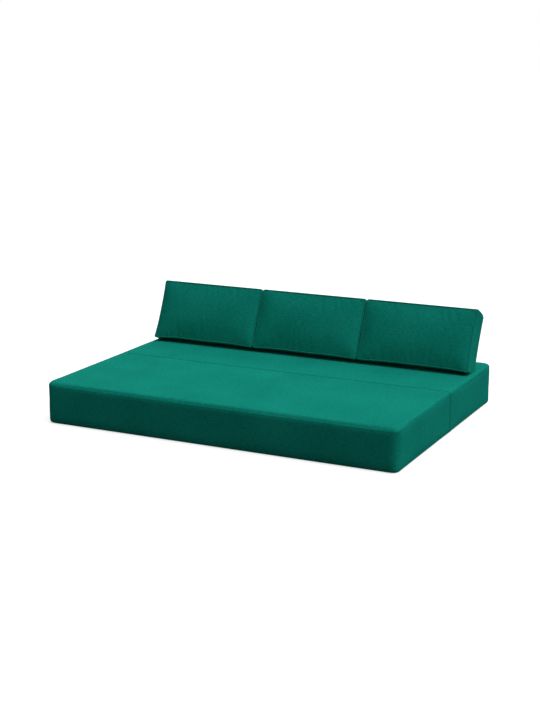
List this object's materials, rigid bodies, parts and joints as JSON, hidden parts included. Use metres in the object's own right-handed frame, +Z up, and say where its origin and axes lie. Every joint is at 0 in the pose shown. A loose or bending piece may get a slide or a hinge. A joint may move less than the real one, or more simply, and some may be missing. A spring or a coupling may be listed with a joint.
{
  "type": "frameless folding sofa",
  "caption": "Frameless foam sofa opened flat as a bed, hinged to fold over itself into a seat, with loose box back cushions.",
  "frame": {"origin": "on the floor, at the centre of the opened sofa's footprint", "axes": "+Z up, X along the width, -Y towards the front, rest pose opened flat"},
  "size_m": [1.8, 1.3, 0.504],
  "materials": {
    "upholstery": "woven melange, matte",
    "seam_piping": "woven, matte",
    "hinge_fabric": "woven, matte",
    "anti_slip_base": "dotted non-woven",
    "foam": "open-cell foam",
    "wadding": "fibre wadding",
    "zip_tape": "woven tape",
    "zip_coil": "nylon coil",
    "zip_metal": "nickel plated",
    "loop_tape": "looped pile",
    "hook_tape": "moulded hooks"
  },
  "bodies": {
    "rear_block": {"rear_foam_core": "foam", "rear_wadding": "wadding", "rear_cover": "upholstery", "rear_base_panel": "anti_slip_base", "rear_zip_tape": "zip_tape", "rear_zip_chain": "zip_coil", "rear_loop_strips": "loop_tape", "rear_hinge_tape": "hinge_fabric", "hinge_cord": "hinge_fabric"},
    "front_block": {"front_foam_core": "foam", "front_wadding": "wadding", "front_cover": "upholstery", "front_seat_panel": "upholstery", "front_zip_tape": "zip_tape", "front_zip_chain": "zip_coil", "front_hinge_tape": "hinge_fabric"},
    "left_cushion": {"left_cushion_foam": "foam", "left_cushion_wadding": "wadding", "left_cushion_front_panel": "upholstery", "left_cushion_band": "upholstery", "left_cushion_back_panel": "upholstery", "left_cushion_front_welt": "seam_piping", "left_cushion_back_welt": "seam_piping", "left_cushion_hook_strip": "hook_tape", "left_cushion_zip_tape": "zip_tape", "left_cushion_zip_chain": "zip_coil"},
    "middle_cushion": {"middle_cushion_foam": "foam", "middle_cushion_wadding": "wadding", "middle_cushion_front_panel": "upholstery", "middle_cushion_band": "upholstery", "middle_cushion_back_panel": "upholstery", "middle_cushion_front_welt": "seam_piping", "middle_cushion_back_welt": "seam_piping", "middle_cushion_hook_strip": "hook_tape", "middle_cushion_zip_tape": "zip_tape", "middle_cushion_zip_chain": "zip_coil"},
    "right_cushion": {"right_cushion_foam": "foam", "right_cushion_wadding": "wadding", "right_cushion_front_panel": "upholstery", "right_cushion_band": "upholstery", "right_cushion_back_panel": "upholstery", "right_cushion_front_welt": "seam_piping", "right_cushion_back_welt": "seam_piping", "right_cushion_hook_strip": "hook_tape", "right_cushion_zip_tape": "zip_tape", "right_cushion_zip_chain": "zip_coil"},
    "rear_zip_slider": {"rear_zip_slider": "zip_metal"},
    "rear_zip_pull": {"rear_zip_pull": "zip_metal"},
    "front_zip_slider": {"front_zip_slider": "zip_metal"},
    "front_zip_pull": {"front_zip_pull": "zip_metal"},
    "left_cushion_zip_slider": {"left_cushion_zip_slider": "zip_metal"},
    "left_cushion_zip_pull": {"left_cushion_zip_pull": "zip_metal"},
    "middle_cushion_zip_slider": {"middle_cushion_zip_slider": "zip_metal"},
    "middle_cushion_zip_pull": {"middle_cushion_zip_pull": "zip_metal"},
    "right_cushion_zip_slider": {"right_cushion_zip_slider": "zip_metal"},
    "right_cushion_zip_pull": {"right_cushion_zip_pull": "zip_metal"}
  },
  "joints": [
    {"name": "fold", "type": "hinge", "parent": "rear_block", "child": "front_block", "pos_m": [0, 0.025, 0.2055], "axis": [-1, 0, 0], "range_deg": [0, 180]},
    {"name": "left_cushion_lift", "type": "slide", "parent": "rear_block", "child": "left_cushion", "axis": [0, 0.8944, 0.4472], "range_m": [0, 0.4808]},
    {"name": "middle_cushion_lift", "type": "slide", "parent": "rear_block", "child": "middle_cushion", "axis": [0, 0.8944, 0.4472], "range_m": [0, 0.4808]},
    {"name": "right_cushion_lift", "type": "slide", "parent": "rear_block", "child": "right_cushion", "axis": [0, 0.8944, 0.4472], "range_m": [0, 0.4808]},
    {"name": "rear_zip_slide", "type": "slide", "parent": "rear_block", "child": "rear_zip_slider", "axis": [-1, 0, 0], "range_m": [0, 1.4895]},
    {"name": "rear_zip_pull_swing", "type": "hinge", "parent": "rear_zip_slider", "child": "rear_zip_pull", "pos_m": [0.74475, 0.6487, 0.062], "axis": [0, 0, -1], "range_deg": [0, 170]},
    {"name": "front_zip_slide", "type": "slide", "parent": "front_block", "child": "front_zip_slider", "axis": [0, -1, 0], "range_m": [0, 0.5095]},
    {"name": "front_zip_pull_swing", "type": "hinge", "parent": "front_zip_slider", "child": "front_zip_pull", "pos_m": [-0.8987, -0.05775, 0.062], "axis": [0, 0, -1], "range_deg": [0, 170]},
    {"name": "left_cushion_zip_slide", "type": "slide", "parent": "left_cushion", "child": "left_cushion_zip_slider", "axis": [-1, 0, 0], "range_m": [0, 0.3895]},
    {"name": "left_cushion_zip_pull_swing", "type": "hinge", "parent": "left_cushion_zip_slider", "child": "left_cushion_zip_pull", "pos_m": [-0.39075, 0.48553, 0.24272], "axis": [0, -0.4147, -0.91], "range_deg": [0, 170]},
    {"name": "middle_cushion_zip_slide", "type": "slide", "parent": "middle_cushion", "child": "middle_cushion_zip_slider", "axis": [-1, 0, 0], "range_m": [0, 0.3895]},
    {"name": "middle_cushion_zip_pull_swing", "type": "hinge", "parent": "middle_cushion_zip_slider", "child": "middle_cushion_zip_pull", "pos_m": [0.19475, 0.48553, 0.24272], "axis": [0, -0.4147, -0.91], "range_deg": [0, 170]},
    {"name": "right_cushion_zip_slide", "type": "slide", "parent": "right_cushion", "child": "right_cushion_zip_slider", "axis": [-1, 0, 0], "range_m": [0, 0.3895]},
    {"name": "right_cushion_zip_pull_swing", "type": "hinge", "parent": "right_cushion_zip_slider", "child": "right_cushion_zip_pull", "pos_m": [0.78025, 0.48553, 0.24272], "axis": [0, -0.4147, -0.91], "range_deg": [0, 170]}
  ],
  "couplings": [
    {"joint": "left_cushion_lift", "follows": "fold", "m_per_rad": 0.15279},
    {"joint": "middle_cushion_lift", "follows": "fold", "m_per_rad": 0.15279},
    {"joint": "right_cushion_lift", "follows": "fold", "m_per_rad": 0.15279}
  ]
}
